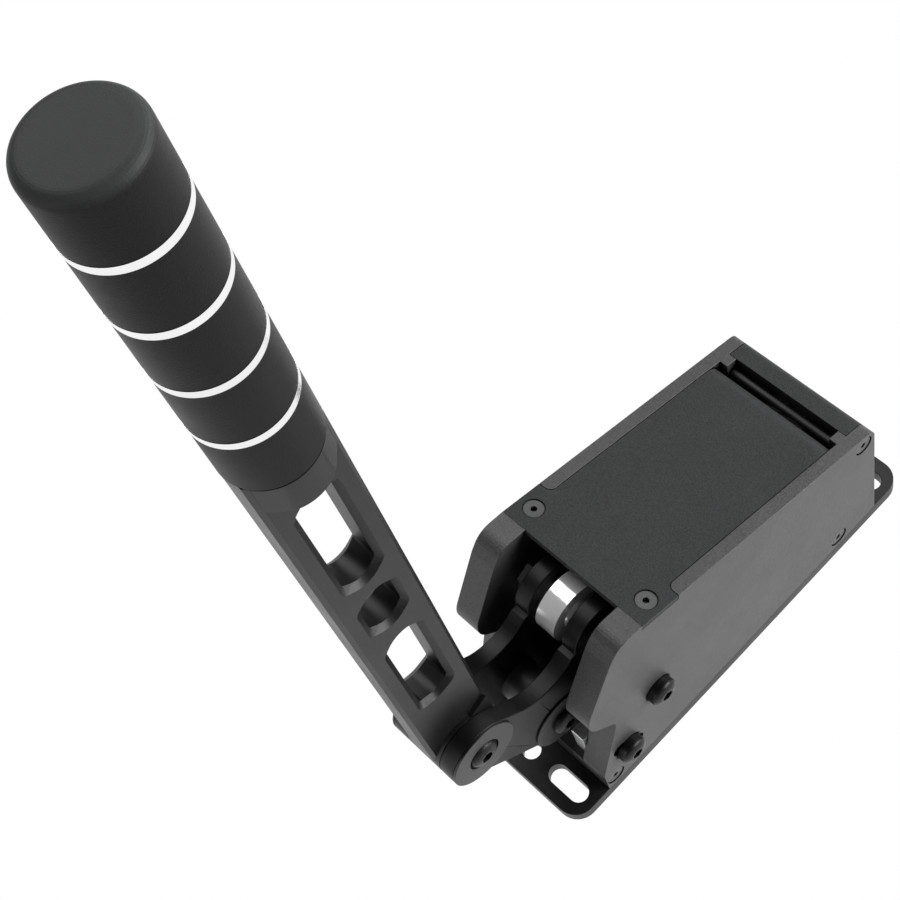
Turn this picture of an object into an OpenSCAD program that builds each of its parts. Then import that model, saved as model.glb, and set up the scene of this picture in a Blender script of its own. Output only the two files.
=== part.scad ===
// Handbrake lever for a driving simulator, all sizes in millimetres.
// Origin: the underside of the base plate, at the centre of its slot pattern.
// +X is the side with the visible side plate, -Y is the lever end, +Z is up.
// The lever pivots on a shaft between the side plates. Its crank pulls a rod out of a
// sprung barrel, whose rear eye hangs on a load cell.

/* [Base plate] */
// Width of the body and the base
body_w = 70; // [66:1:76]
// Length of the base plate
base_len = 200; // [196:1:220]
// Thickness of the base plate
base_t = 6.7; // [6:0.1:8]
// Corner radius of the base plate
base_corner_r = 9; // [4:1:12]
// Distance of the slots' centres from the plate's ends
slot_end = 10; // [9:0.5:12]
// Distance between the slot centres, side to side
slot_cols = 42; // [38:1:44]
// Width of a slot
slot_w = 8.4; // [6.4:0.1:8.6]
// Length of a slot, end to end
slot_len = 19.5; // [16:0.5:21]
// Diameter of the two middle holes
mid_hole_d = 8; // [6:0.1:9]

/* [Side plates] */
// Thickness of a side plate
plate_t = 11.7; // [10:0.1:13]
// Height of the top at the cover's front edge
top_h = 111.1; // [106:0.1:118]
// Slope of the top, down to the rear, in degrees
top_slope = 16.414; // [14:0.1:17]
// Y of the body's rear face
rear_y = 81.8; // [78:0.1:84]
// Distance of the plates' front foot from the base plate's end
foot_in = 19.4; // [18:0.1:22]
// Distance of the cover's front edge from the plates' front foot
cover_in = 36.6; // [35:0.1:38]
// How far the nose stands in front of the foot's corner
nose_out = 0.9; // [0:0.1:3]
// Height of the nose
nose_z = 74.8; // [72:0.1:78]
// Depth of the notch behind the nose
notch_in = 13.5; // [10:0.1:14]
// Height of the notch
notch_z = 57.6; // [54:0.1:60]
// Height at which the foot's front edge starts to slant
foot_h = 22.4; // [20:0.1:26]
// Distance of the crest from the cover's front edge
crest_out = 12; // [10:0.5:14]
// Height of the crest above the cover's front edge
crest_up = 2.2; // [1.8:0.1:2.6]
// Distance of the shoulder from the foot's front face
shoulder_in = 18.5; // [17:0.5:20]
// Depth of the shoulder below the cover's front edge
shoulder_down = 5.2; // [4:0.1:6]
// Round of the nose
nose_round = 13; // [2:0.5:14]
// Round of the notch
notch_round = 5; // [1:0.5:6]
// Round of the top's rear edge
rear_round = 4.5; // [1:0.5:7]
// Round between the crest and the cover
crest_round = 30; // [20:1:34]

/* [Cover] */
// Thickness of the top cover
cover_t = 2.2; // [1.6:0.1:3]
// Width of a side plate's edge beside the cover
cover_edge = 5.9; // [5:0.1:7]
// Length of the cover's full width front part, along the slope
cover_front_len = 19; // [17:0.5:21]
// Radius of the corner that each side plate's edge strip has beside that part
strip_round = 3; // [1:0.5:4]
// Distance of the cover screws from the front edge, along the slope
cover_screw_in = 9.4; // [8:0.1:11]
// Distance of the cover screws from the outer faces
cover_screw_edge = 6.8; // [6:0.1:8]
// Length of the cover screws
cover_screw_len = 12.6; // [10:0.1:16]
// Inner radius of the cover's rear bend
bend_r = 6; // [5:0.5:7]
// Thickness of the rail behind the cover's rear bend
rail_t = 4; // [3:0.1:4.2]
// Depth of the rail's top below the slope
rail_down = 5.5; // [4:0.1:6]
// Round along the rail's top
rail_round = 1.8; // [1:0.1:2]

/* [Rear] */
// Length of the rear crossbar, front to rear
crossbar_len = 9.8; // [9:0.1:12]
// Height of the crossbar at its rear face, up to the slope
crossbar_h = 11.5; // [10:0.1:12.5]
// Distance of the crossbar's screws from the rear face
crossbar_screw_in = 6.3; // [5.5:0.1:7]
// Height of the crossbar's screws above its underside
crossbar_screw_up = 7.7; // [6:0.1:9]
// Length of the plates' teeth in front of the crossbar
tooth_len = 5.6; // [5:0.1:6]
// Depth of the rebate between the plates' teeth
rail_seat = 2.1; // [1.5:0.1:2.5]
// Length of the pocket for the cover's rear edge
tail_len = 6.9; // [6.5:0.1:7.5]
// Distance of the rear panel's front face from the rear face
panel_in = 4.9; // [4.6:0.1:5.2]
// Thickness of the rear panel
panel_t = 2; // [1.5:0.1:2.5]

/* [Cross blocks] */
// Height of a cross block
block_h = 12.4; // [11:0.1:14]
// Length of a cross block, front to rear
block_len = 10; // [9:0.1:12]
// Distance of the rear block's centre from the rear face
rear_block_in = 22.5; // [22.2:0.1:22.8]
// Distance of the base screws from the tips of the side screws
base_screw_gap = 5; // [4.4:0.1:6]

/* [Pivot] */
// Distance of the lever's pivot in front of the cover's front edge
pivot_out = 1.2; // [0.5:0.1:2]
// Depth of the lever's pivot below the cover's front edge
pivot_down = 60.1; // [59:0.1:61]
// Diameter of the pivot shaft
shaft_d = 12; // [10:0.5:13]
// Wall of the pivot bushes
bush_wall = 2; // [1.5:0.1:2.5]
// Radius of the sleeves beside the crank
sleeve_r = 9; // [8.5:0.1:9.5]
// Radius of the tube between the bushes
pivot_tube_r = 9.5; // [9:0.1:10]
// Length of a running gap beside the crank
side_gap = 0.3; // [0.25:0.05:0.5]
// Radius of the thrust washers
washer_r = 10; // [9.5:0.1:11]
// Thickness of the thrust washers
washer_t = 1.5; // [1:0.1:2]
// Radial running fit
running_fit = 0.05; // [0.02:0.01:0.09]
// Radial clearance between pieces of one body
thread_fit = 0.05; // [0.02:0.01:0.1]
// Radial clearance of a through hole
hole_gap = 0.25; // [0.1:0.05:0.4]

/* [Crank] */
// Thickness of a crank plate
crank_t = 7.2; // [6:0.1:8]
// Distance between the crank plates
crank_gap = 17; // [16.6:0.1:17.4]
// Radius of the crank's round ends
crank_r = 14.7; // [14:0.1:15]
// Half width of the crank's lower limb
limb_r = 12.5; // [11:0.1:13]
// Half width of the crank between the tie and the pivot
web_r = 11; // [10:0.1:12]
// Distance of the lever's axis and the hub in front of the pivot
hub_out = 66.9; // [66:0.1:67.5]
// Height of the hub above the pivot
hub_up = 36; // [35:0.1:37]
// Distance of the crank's lower tie in front of the pivot
tie_out = 32.7; // [32.3:0.1:33.1]
// Height of the crank's lower tie above the pivot
tie_up = 0.9; // [0.5:0.1:1.3]
// Distance of the crank pin in front of the pivot
pin_out = 4.3; // [3.9:0.1:4.7]
// Height of the crank pin above the pivot
pin_up = 36; // [35.7:0.1:36.3]
// Radius of the crank's upper end, round the crank pin
pin_end_r = 13.5; // [13:0.1:14]
// Radius of the hollow between hub and crank pin
hollow_r = 18.1; // [17.7:0.1:18.5]
// Direction of the hollow from the crank pin, in degrees above the horizontal
hollow_up = 24; // [23:0.1:25]
// Thickness of the hub's discs
hub_disc_t = 1; // [0.6:0.1:1.4]
// Radius of the hub's recess
hub_recess_r = 7; // [6.6:0.1:7.6]
// Depth of the hub's recess in the crank plate
hub_recess_in = 0.8; // [0.4:0.1:3]
// Thickness of the tie's discs
tie_disc_t = 0.9; // [0.6:0.1:1.6]
// Radius of the spacer between the crank plates at the tie
tie_spacer_r = 9; // [8:0.5:10]
// Radius of the tie's discs
tie_disc_r = 14; // [13:0.1:15]
// Diameter of the crank pin
pin_d = 8; // [7:0.5:8.5]
// Radius of the collars on the crank pin
pin_collar_r = 5.6; // [5.2:0.1:6]

/* [Lever] */
// Height of the lever's thick root above the hub, at its rear
cheek_rear = 17.9; // [17:0.1:19]
// Height of the lever's thick root above the hub, at its front
cheek_front = 5.3; // [4.5:0.1:6]
// Thickness of the lever's blade
blade_t = 13.5; // [12:0.1:15]
// Width of the lever's blade
blade_w = 29.1; // [27:0.1:29.4]
// Height above the hub at which the lever's collar ends and the grip's core starts
collar_up = 225.2; // [222:0.1:226]
// Radius of the collar
collar_r = 14.6; // [14.2:0.1:15]
// Height of the collar
collar_h = 14.7; // [12:0.1:16]
// Distance of the collar's corner flats from the lever's axis
collar_flat = 14; // [13.6:0.1:14.3]
// Chamfer round the collar's lower edge
collar_chamfer = 1; // [0.5:0.1:1.5]
// Bevel along the blade's edges
blade_bevel = 1.5; // [0.8:0.1:2]
// Width of the lever's windows
window_w = 17.4; // [15:0.1:18.5]
// Chamfer round the windows
window_chamfer = 2; // [1:0.1:2.5]
// Height of the lowest window's lower end above the hub
window1_up = 44.4; // [42:0.1:47]
// Height of the lowest window
window1_h = 57.8; // [54:0.1:59]
// Height of the middle window's lower end above the lowest window
window2_gap = 8; // [6.8:0.1:9.8]
// Height of the middle window
window2_h = 25.9; // [23:0.1:28]
// Height of the top window's lower end above the middle window
window3_gap = 6.2; // [5:0.1:9]
// Distance of the top window's upper end from the collar
window_top_gap = 8.5; // [6:0.1:16]

/* [Grip] */
// Radius of the grip
grip_r = 15.45; // [15:0.05:16]
// Length of the grip
grip_len = 123.1; // [118:0.1:127]
// Thickness of the washer under the grip
grip_washer_t = 1.2; // [0.8:0.1:2]
// How far the washer stands back from the grip's face
grip_washer_in = 0.4; // [0.2:0.1:1]
// Distance of the lowest ring's middle from the grip's lower end
ring_low = 23.8; // [21:0.1:26]
// Distance of the highest ring's middle from the grip's top
ring_high = 23.4; // [21:0.1:26]
// Height of a ring
ring_h = 2.7; // [2:0.1:4]
// How far a ring stands proud of the segments
ring_proud = 0.1; // [0.05:0.05:0.4]
// Radius of the grip's core
core_r = 8; // [7:0.5:10]
// Radius of the core's threaded end
core_stud_r = 5; // [4:0.5:6]
// Depth of the core's threaded end in the collar
core_stud_in = 18; // [14:0.5:20]
// Thickness of the cap above the core
cap_wall = 10; // [8:0.5:12]
// Round of the grip's cap
cap_round = 3.5; // [2:0.5:5]

/* [Stop] */
// Distance of the stop shaft in front of the pivot
stop_out = 20.7; // [20.5:0.1:21]
// Depth of the stop shaft below the pivot
stop_down = 22.8; // [22.6:0.1:23]
// Radius of the stop shaft
stop_r = 5; // [4.2:0.1:5.1]
// Radius of the arc slots' width
stop_slot_r = 3.6; // [3.3:0.1:3.8]
// How far the arc slots run to each side of the stop, in degrees
stop_slot_angle = 10.5; // [8:0.5:13]
// Length of a stop block
stop_block_len = 23.6; // [18:0.1:24]
// Height of a stop block
stop_block_h = 17.6; // [12:0.1:18]

/* [Screws] */
// Radius of the large button heads
button_r = 6.2; // [5.8:0.1:6.4]
// Height of the large button heads
button_h = 3.4; // [3:0.1:3.8]
// Radius of the large button heads' hexagon sockets
button_hex = 2.6; // [2:0.1:2.8]
// Thickness of the washers under the side plates' button heads
head_washer_t = 1.7; // [1:0.1:2]
// Radius of the large bolts' shanks
bolt_r = 3; // [2.6:0.1:3.1]
// Depth of a large bolt in its thread
bolt_in = 13; // [10:0.5:14]
// Radius of the hub bolts' shanks
hub_bolt_r = 4; // [3:0.1:4.2]
// Radius of a countersunk head
csk_r = 4.05; // [3.7:0.05:4.2]
// Depth of the countersunk heads below the face
csk_down = 0.4; // [0.1:0.1:0.6]
// Radius of a countersunk screw's shank
csk_shank_r = 2; // [1.6:0.1:2.1]
// Length of a countersunk screw
csk_len = 18; // [16:0.5:20]

/* [Rod and barrel] */
// Distance of the rear pin from the rear face
anchor_in = 25.6; // [25.2:0.1:25.8]
// Height of the rear pin above the pivot
anchor_up = 2; // [1.5:0.1:2.5]
// Radius of the rod end's head
eye_r = 13.6; // [13:0.1:14]
// Width of the rod end's head
eye_w = 9.4; // [9:0.1:10]
// Radius of the rod end's ball
ball_r = 9; // [8.7:0.1:9.3]
// Width of the rod end's ball
ball_w = 13.4; // [12.8:0.1:13.8]
// Radial clearance round the ball
ball_gap = 0.4; // [0.38:0.01:0.5]
// Radius of the rod end's shank
eye_shank_r = 6.2; // [5.6:0.1:6.6]
// Radius of the rod end's hexagon, across its corners
eye_hex_r = 7.4; // [7:0.1:7.8]
// Length of the rod end's hexagon
eye_hex_len = 6; // [5:0.5:7]
// Length of the rod end, from its ball's centre
eye_len = 30; // [28:0.5:32]
// Radius of the pull rod
rod_r = 4; // [3.5:0.1:4.3]
// Outer radius of the barrel
barrel_r = 15; // [14:0.1:15.5]
// Wall of the barrel
barrel_wall = 2.5; // [2:0.1:3]
// Distance from the crank pin to the barrel's front end
barrel_start = 42; // [40:0.5:43]
// Distance from the barrel's tube to the rear pin
rear_stem = 17; // [16:0.5:19]
// Thickness of the barrel's front cap inside the tube
cap_in = 8; // [7:0.5:9]
// Thickness of the front cap before the tube
cap_flange = 2; // [1.5:0.5:2.5]
// Radius of the rear eye
rear_eye_r = 7; // [6.6:0.1:7.2]
// Depth of the rear cap inside the tube
rear_cap_in = 4; // [3:0.5:6]
// Thickness of the rear cap behind the tube
rear_cap_t = 3; // [2:0.5:4]
// Half height of the rear eye's neck
rear_neck_r = 6; // [5:0.1:6.4]
// Width of the rear eye
rear_eye_w = 8; // [7:0.1:8.4]
// Diameter of the rear pin
anchor_d = 7; // [6:0.1:7.5]

/* [Spring] */
// Room behind the rod's end in the barrel
rod_room = 2; // [1:0.5:3]
// Middle radius of the spring
spring_r = 8.4; // [8:0.1:8.8]
// Wire diameter of the spring
spring_wire = 2.8; // [2.4:0.1:3]
// Turns of the spring
spring_turns = 5; // [4:1:5]

/* [Load cell and board] */
// Width of the load cell
cell_w = 18; // [17:0.1:18.2]
// Thickness of the load cell
cell_t = 9; // [8:0.1:9.4]
// Depth of the load cell's screws in their threads
cell_screw_in = 3.5; // [3:0.1:3.8]
// Height of the load cell's top above the rear pin
cell_up = 8; // [7.5:0.1:8.2]
// Width of the circuit board
board_w = 36; // [32:1:40]
// Length of the circuit board
board_len = 56; // [50:1:60]
// Thickness of the circuit board
board_t = 1.6; // [1:0.1:2]
// Y of the circuit board's centre
board_y = 10; // [6:1:14]
// Height of the standoffs
standoff_h = 6; // [5:0.5:8]
// Distance of the data socket's middle from the side plate
socket_in = 7.7; // [7.5:0.1:7.9]
// Height of the data socket's centre
socket_z = 32; // [30:0.5:36]
// Width of the data socket
socket_w = 12; // [11.6:0.1:12.2]
// Height of the data socket
socket_h = 12; // [11:0.1:13]

/* [Hidden] */
$fn = 64;
eps = 0.01;
far = 400;

half_w = body_w / 2;
plate_in = half_w - plate_t;
cover_x = half_w - cover_edge;
pocket_gap = 0.3;
rail_gap = 2.4;
rail_back = 1.3;
rebate_down = 1;
panel_seat = 2;
crank_in = crank_gap / 2;
crank_out = crank_in + crank_t;

slot_rows = base_len - 2 * slot_end;
foot_y = foot_in - base_len / 2;
cover_y = foot_y + cover_in;
front_block_y = foot_y + block_len / 2;
rear_block_y = rear_y - rear_block_in;
base_screw_x = half_w - csk_len - base_screw_gap;
socket_x = plate_in - socket_in;

pivot_y = cover_y - pivot_out;
pivot_z = top_h - pivot_down;
hub_y = pivot_y - hub_out;
hub_z = pivot_z + hub_up;
tie_y = pivot_y - tie_out;
tie_z = pivot_z + tie_up;
pin_y = pivot_y - pin_out;
pin_z = pivot_z + pin_up;
stop_y = pivot_y - stop_out;
stop_z = pivot_z - stop_down;
anchor_y = rear_y - anchor_in;
anchor_z = pivot_z + anchor_up;
cell_top = anchor_z + cell_up;

pivot = [pivot_y, pivot_z];
hub = [hub_y, hub_z];
tie = [tie_y, tie_z];
pin = [pin_y, pin_z];
stop = [stop_y, stop_z];
anchor = [anchor_y, anchor_z];

shaft_r = shaft_d / 2;
pin_r = pin_d / 2;
anchor_r = anchor_d / 2;
bush_r = shaft_r + bush_wall;

// Top plane
slope_cos = cos(top_slope);
slope_sin = sin(top_slope);
slope_tan = tan(top_slope);
function top_z(y) = top_h - slope_tan * (y - cover_y);

// The crossbar, the rail in front of it and the cover's rear bend stand one behind the other
crossbar_z = top_z(rear_y) - crossbar_h;
crossbar_y = rear_y - crossbar_len;
rebate_z = crossbar_z - rebate_down;
rail_y = crossbar_y - rail_back - rail_t;
bend_out = bend_r + cover_t;
cover_len = bend_r + (rail_y - rail_gap - cover_y - bend_out * (1 - slope_sin)) / slope_cos;

// Rod line, from the crank pin to the rear pin
rod_dy = anchor_y - pin_y;
rod_dz = anchor_z - pin_z;
rod_span = norm([rod_dy, rod_dz]);
rod_tilt = atan2(-rod_dz, rod_dy);

// Lengths along the rod line
barrel_len = rod_span - barrel_start - rear_stem;
barrel_end = barrel_start + barrel_len;
nut_w = 13;
nut_h = 5;
piston_t = 4;
rod_tip = 1;
spring_start = barrel_start + cap_in;
spring_len = barrel_end - rear_cap_in - rod_room - rod_tip - nut_h - piston_t - spring_start;
piston_start = spring_start + spring_len;
piston_gap = 0.3;
piston_r = barrel_r - barrel_wall - piston_gap;
rod_start = 15;
eye_neck = ball_r + ball_gap + 0.8;
eye_neck_len = 4.5;
rod_end = piston_start + piston_t + nut_h + rod_tip;

// Stop blocks stand clear of the tie's discs
stop_block_in = crank_out + tie_disc_t + side_gap;

// Screws
bolt_end = 0.6;
csk_h = csk_r - csk_shank_r;
csk_hex = 1.45;
seat_gap = 0.07;
// Open ring round a countersunk head's rim, and how far it goes below the rim
csk_ring = 0.45;
csk_ring_deep = 0.5;
tap_end = 1.5;
m3_r = 1.5;
m3_head_r = 2.75;
m3_head_h = 1.65;
m3_hex = 1.1;

cell_y = rear_block_y + block_len / 2;
panel_y = rear_y - panel_in;
board_hole_in = 3;
board_z = base_t + standoff_h;

// Unit vector from a to b
function unit(a, b) = (b - a) / norm(b - a);

// Corner b between a and c as an arc of radius r
function corner(a, b, c, r, n = 8) =
    r == 0 ? [b] :
    let (u = unit(b, a), v = unit(b, c), half = acos(u * v) / 2, mid = (u + v) / norm(u + v))
    let (o = b + mid * r / sin(half), p = b + u * r / tan(half), q = b + v * r / tan(half))
    let (t0 = atan2(p[1] - o[1], p[0] - o[0]), t1 = atan2(q[1] - o[1], q[0] - o[0]))
    let (d = t1 - t0, sweep = d > 180 ? d - 360 : d < -180 ? d + 360 : d)
    [for (i = [0:n]) o + r * [cos(t0 + sweep * i / n), sin(t0 + sweep * i / n)]];

// Outline with one radius per corner
function rounded(pts, radii) =
    let (n = len(pts))
    [for (i = [0:n - 1]) each corner(pts[(i + n - 1) % n], pts[i], pts[(i + 1) % n], radii[i])];

// Shapes drawn in Y and Z, extruded along X from x0 to x1
module along_x(x0, x1) {
    translate([x0, 0, 0]) rotate([90, 0, 90]) linear_extrude(x1 - x0) children();
}

module disc_x(at, r, x0, x1) {
    translate([x0, at[0], at[1]]) rotate([0, 90, 0]) cylinder(r = r, h = x1 - x0);
}

module tube_x(at, r, bore, x0, x1) {
    difference() {
        disc_x(at, r, x0, x1);
        disc_x(at, bore, x0 - 1, x1 + 1);
    }
}

module both_sides() {
    children();
    mirror([1, 0, 0]) children();
}

// Straight limb of half width r between two centres
module limb(a, b, r) {
    n = r * [-unit(a, b)[1], unit(a, b)[0]];
    polygon([a + n, b + n, b - n, a - n]);
}

// Local +Y runs down the slope from the cover's front edge, local +Z leaves the top
module on_top() {
    translate([0, cover_y, top_h]) rotate([-top_slope, 0, 0]) children();
}

// Point that far above the cover's front edge, square to the slope
function on_slope(up) = [cover_y, top_h] + up * [slope_sin, slope_cos];

// Local +Z runs from the crank pin along the rod
module on_rod() {
    translate([0, pin_y, pin_z]) rotate([-(90 + rod_tilt), 0, 0]) children();
}

// Button head screw, its seat at z = 0, its shank downwards
module button_screw(head_r, head_h, shank_r, length, hex) {
    edge = head_h * 0.35;
    difference() {
        union() {
            rotate_extrude()
                polygon(concat([[0, 0], [head_r, 0], [head_r, edge]],
                    [for (a = [7.5:7.5:60])
                        [head_r * cos(a), edge + (head_h - edge) * sin(a) / sin(60)]],
                    [[0, head_h]]));
            translate([0, 0, -length]) cylinder(r = shank_r, h = length + eps);
        }
        translate([0, 0, head_h * 0.3]) cylinder(r = hex, h = head_h, $fn = 6);
    }
}

// Countersunk screw, its top csk_down below z = 0, its tip at z = -length
module csk_screw(length) {
    difference() {
        union() {
            translate([0, 0, -csk_h - csk_down]) cylinder(r1 = csk_shank_r, r2 = csk_r, h = csk_h);
            translate([0, 0, -length]) cylinder(r = csk_shank_r, h = length - csk_h - csk_down + eps);
        }
        translate([0, 0, -csk_h - csk_down]) cylinder(r = csk_hex, h = csk_h + 1, $fn = 6);
    }
}

// Hole for a countersunk screw: the head's seat, the ring round its rim and the shank's bore
module csk_hole(length, shank_gap) {
    ring_z = -csk_down - csk_ring_deep;
    translate([0, 0, -csk_h - csk_down])
        cylinder(r1 = csk_shank_r + seat_gap, r2 = csk_r + seat_gap, h = csk_h);
    translate([0, 0, ring_z]) cylinder(r = csk_r + csk_ring, h = 1 - ring_z);
    translate([0, 0, -length]) cylinder(r = csk_shank_r + shank_gap, h = length);
}

module hex_nut(width, height, bore) {
    difference() {
        cylinder(r = width / 2 / cos(30), h = height, $fn = 6);
        translate([0, 0, -1]) cylinder(r = bore, h = height + 2);
    }
}

side_screw_at = [
    [rear_y - crossbar_screw_in, crossbar_z + crossbar_screw_up],
    [rear_block_y, base_t + block_h / 2],
    [front_block_y, base_t + block_h / 2]
];

module at_side_screws() {
    for (at = side_screw_at)
        translate([half_w, at[0], at[1]]) rotate([0, 90, 0]) children();
}

module at_cover_screws() {
    on_top() for (s = [-1, 1])
        translate([s * (half_w - cover_screw_edge), cover_screw_in, 0]) children();
}

module at_base_screws() {
    for (y = [front_block_y, rear_block_y], s = [-1, 1])
        translate([s * base_screw_x, y, 0]) rotate([180, 0, 0]) children();
}

// Base plate
module base_plate() {
    color([0.13, 0.13, 0.14]) difference() {
        linear_extrude(base_t)
            polygon(rounded([[-half_w, -base_len / 2], [half_w, -base_len / 2],
                [half_w, base_len / 2], [-half_w, base_len / 2]],
                [for (i = [0:3]) base_corner_r]));
        for (x = [-1, 1], y = [-1, 1]) translate([x * slot_cols / 2, y * slot_rows / 2, -1]) {
            run = (slot_len - slot_w) / 2;
            for (s = [-1, 1]) translate([s * run, 0, 0]) cylinder(d = slot_w, h = base_t + 2);
            translate([-run, -slot_w / 2, 0]) cube([2 * run, slot_w, base_t + 2]);
        }
        for (y = [-1, 1]) translate([0, y * slot_rows / 2, -1]) cylinder(d = mid_hole_d, h = base_t + 2);
        at_base_screws() csk_hole(base_t + 1, hole_gap);
    }
}

// Side plates
crest_out_round = 9;
shoulder_round = 4;
foot_round = 2;

side_outline = rounded([
    [foot_y, base_t], [rear_y, base_t], [rear_y, top_z(rear_y)], [cover_y, top_h],
    [cover_y - crest_out, top_h + crest_up], [foot_y + shoulder_in, top_h - shoulder_down],
    [foot_y - nose_out, nose_z], [foot_y + notch_in, notch_z], [foot_y, foot_h]
], [0, 0, rear_round, crest_round, crest_out_round, shoulder_round, nose_round, notch_round, foot_round]);

stop_reach = norm(stop - pivot);
stop_angle = atan2(stop_z - pivot_z, stop_y - pivot_y);

// Arc slot round the pivot, as one outline: outer arc, round end, inner arc, round end
function polar(r, a) = r * [cos(a), sin(a)];

stop_slot_outline =
    let (a0 = stop_angle - stop_slot_angle, a1 = stop_angle + stop_slot_angle, n = 12)
    concat(
        [for (i = [0:n]) polar(stop_reach + stop_slot_r, a0 + (a1 - a0) * i / n)],
        [for (i = [1:n - 1]) polar(stop_reach, a1) + polar(stop_slot_r, a1 + 180 * i / n)],
        [for (i = [0:n]) polar(stop_reach - stop_slot_r, a1 + (a0 - a1) * i / n)],
        [for (i = [1:n - 1]) polar(stop_reach, a0) + polar(stop_slot_r, a0 + 180 + 180 * i / n)]
    );

module stop_slot() {
    along_x(plate_in - 1, half_w + 1) translate(pivot) polygon(stop_slot_outline);
}

// Half length of the rail, which rests on the rebate's ledge
rail_x = plate_in + rail_seat;

// Pocket for the cover, with the rebate behind its bent rear edge, as one outline
pocket_drop = cover_t + pocket_gap;
rebate_end = crossbar_y - tooth_len;
rebate_start = rebate_end - tail_len;

cover_pocket_outline = [
    on_slope(-pocket_drop), [rebate_start, top_z(rebate_start) - pocket_drop / slope_cos],
    [rebate_start, rebate_z], [rebate_end, rebate_z], [rebate_end, top_h + far], on_slope(far)
];

// What the rounded corner of the edge strip leaves open, from the pocket's own corner
strip_cross = 0.1;
strip_corner = concat(
    [[-1, -1], [strip_round, -1], [strip_round, -strip_cross]],
    [for (a = [255:-15:195]) strip_round * [1 + cos(a), 1 + sin(a)]],
    [[-strip_cross, strip_round], [-1, strip_round]]
);

module side_plate() {
    difference() {
        along_x(plate_in, half_w) polygon(side_outline);
        on_top() translate([0, 0, -pocket_drop]) {
            translate([0, -eps, 0]) cube([far, cover_front_len + pocket_gap, far]);
            translate([cover_x + pocket_gap, cover_front_len + pocket_gap, 0])
                linear_extrude(far) polygon(strip_corner);
        }
        along_x(0, cover_x + pocket_gap) polygon(cover_pocket_outline);
        translate([0, rebate_start, rebate_z]) cube([rail_x + pocket_gap, far, far]);
        translate([0, crossbar_y - pocket_gap, crossbar_z - pocket_gap])
            cube([cover_x + pocket_gap, far, far]);
        translate([0, panel_y - pocket_gap, base_t - 1])
            cube([plate_in + panel_seat + pocket_gap, panel_t + 2 * pocket_gap,
                crossbar_z - base_t + 1 + eps]);
        disc_x(pivot, bolt_r + hole_gap, plate_in - 1, half_w + 1);
        stop_slot();
        at_side_screws() csk_hole(csk_len + tap_end, hole_gap);
        at_cover_screws() csk_hole(cover_screw_len + tap_end, thread_fit);
    }
}

module right_side_plate() {
    color([0.32, 0.32, 0.33]) side_plate();
}

module left_side_plate() {
    color([0.3, 0.3, 0.31]) mirror([1, 0, 0]) side_plate();
}

// Top cover, with its rear edge bent down
cover_plan =
    let (flat = cover_len - bend_r, r = strip_round + pocket_gap)
    rounded([
        [-half_w, 0], [half_w, 0], [half_w, cover_front_len], [cover_x, cover_front_len],
        [cover_x, flat], [-cover_x, flat], [-cover_x, cover_front_len], [-half_w, cover_front_len]
    ], [0, 0, 0, r, 0, 0, r, 0]);

module top_cover() {
    color([0.17, 0.17, 0.18]) difference() {
        on_top() {
            translate([0, 0, -cover_t]) linear_extrude(cover_t) polygon(cover_plan);
            translate([-cover_x, cover_len - bend_r, -bend_out]) rotate([90, 0, 90])
                linear_extrude(2 * cover_x) intersection() {
                    difference() {
                        circle(r = bend_out);
                        circle(r = bend_r);
                    }
                    square(far);
                }
        }
        at_cover_screws() csk_hole(cover_screw_len, thread_fit);
    }
}

module cover_screws() {
    color([0.25, 0.25, 0.27]) at_cover_screws() csk_screw(cover_screw_len);
}

// Rail between the plates' teeth, behind the cover's rear bend
module cover_rail() {
    top = top_z(rail_y) - rail_down;
    color([0.15, 0.15, 0.16]) along_x(-rail_x, rail_x)
        polygon(rounded([[rail_y, rebate_z], [rail_y + rail_t, rebate_z],
            [rail_y + rail_t, top], [rail_y, top]], [0, 0, rail_round, rail_round]));
}

// Crossbar between the plates' rear corners
module rear_crossbar() {
    color([0.17, 0.17, 0.18]) difference() {
        along_x(-cover_x, cover_x)
            polygon(rounded([[crossbar_y, crossbar_z], [rear_y, crossbar_z],
                [rear_y, top_z(rear_y)], [crossbar_y, top_z(crossbar_y)]], [0, 0, rear_round, 0]));
        both_sides() at_side_screws() csk_hole(csk_len + tap_end, thread_fit);
    }
}

module rear_panel() {
    color([0.12, 0.12, 0.13]) difference() {
        translate([-plate_in - panel_seat, panel_y, base_t])
            cube([2 * (plate_in + panel_seat), panel_t, crossbar_z - base_t]);
        translate([socket_x - socket_w / 2 - pocket_gap, panel_y - 1, socket_z - socket_h / 2 - pocket_gap])
            cube([socket_w + 2 * pocket_gap, panel_t + 2, socket_h + 2 * pocket_gap]);
    }
}

base_screw_len = base_t + block_h - 4;

module cross_block(y) {
    difference() {
        translate([-plate_in, y - block_len / 2, base_t]) cube([2 * plate_in, block_len, block_h]);
        both_sides() at_side_screws() csk_hole(csk_len + tap_end, thread_fit);
        at_base_screws() csk_hole(base_screw_len + tap_end, thread_fit);
    }
}

module front_cross_block() {
    color([0.2, 0.2, 0.21]) cross_block(front_block_y);
}

module rear_cross_block() {
    color([0.2, 0.2, 0.21]) difference() {
        cross_block(rear_block_y);
        for (s = [-1, 1]) translate([s * cell_screw_x, cell_y - cell_screw_in - 1, base_t + block_h / 2])
            rotate([-90, 0, 0]) cylinder(r = m3_r + thread_fit, h = far);
    }
}

module side_screws() {
    color([0.25, 0.25, 0.27]) both_sides() at_side_screws() csk_screw(csk_len);
}

module base_screws() {
    color([0.25, 0.25, 0.27]) at_base_screws() csk_screw(base_screw_len);
}

// Pivot
module pivot_shaft() {
    color([0.7, 0.7, 0.72]) difference() {
        disc_x(pivot, shaft_r, -plate_in, plate_in);
        both_sides() disc_x(pivot, bolt_r + thread_fit, plate_in - bolt_in - tap_end, plate_in + 1);
    }
}

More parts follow.
